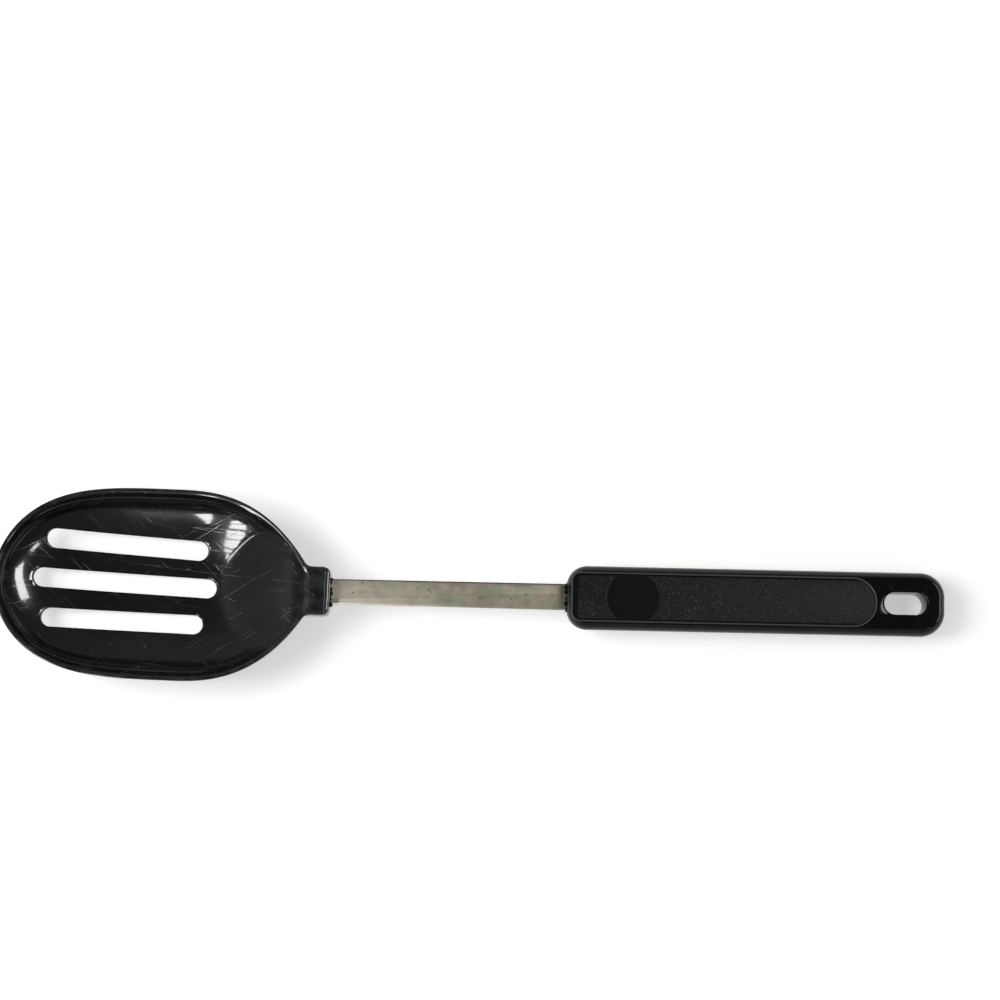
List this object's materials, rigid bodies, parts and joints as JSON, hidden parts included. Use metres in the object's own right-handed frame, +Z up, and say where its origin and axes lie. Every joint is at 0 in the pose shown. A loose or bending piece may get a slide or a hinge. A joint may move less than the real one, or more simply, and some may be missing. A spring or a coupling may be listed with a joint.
{
  "type": "slotted serving spoon",
  "caption": "Slotted serving spoon with a moulded black bowl, a flat steel shank and a black handle with grip panels and a hanging hole.",
  "frame": {"origin": "on the table that the spoon stands on, under the middle of its whole length and width", "axes": "+X along the steel strip towards the hanging end, +Z up, with the hollow of the bowl facing up"},
  "size_m": [0.3304, 0.0664, 0.0194],
  "materials": {
    "bowl_nylon": "glossy black moulded nylon, finely scratched by use",
    "strip_steel": "dull stainless steel strip with faint stains",
    "handle_plastic": "glossy black moulded plastic",
    "grip_plastic": "black plastic with a fine pebble grain"
  },
  "bodies": {
    "root": {"slotted_bowl": "bowl_nylon", "shank_strip": "strip_steel", "handle_body": "handle_plastic", "grip_panel_front": "grip_plastic", "grip_panel_back": "grip_plastic"}
  },
  "joints": []
}
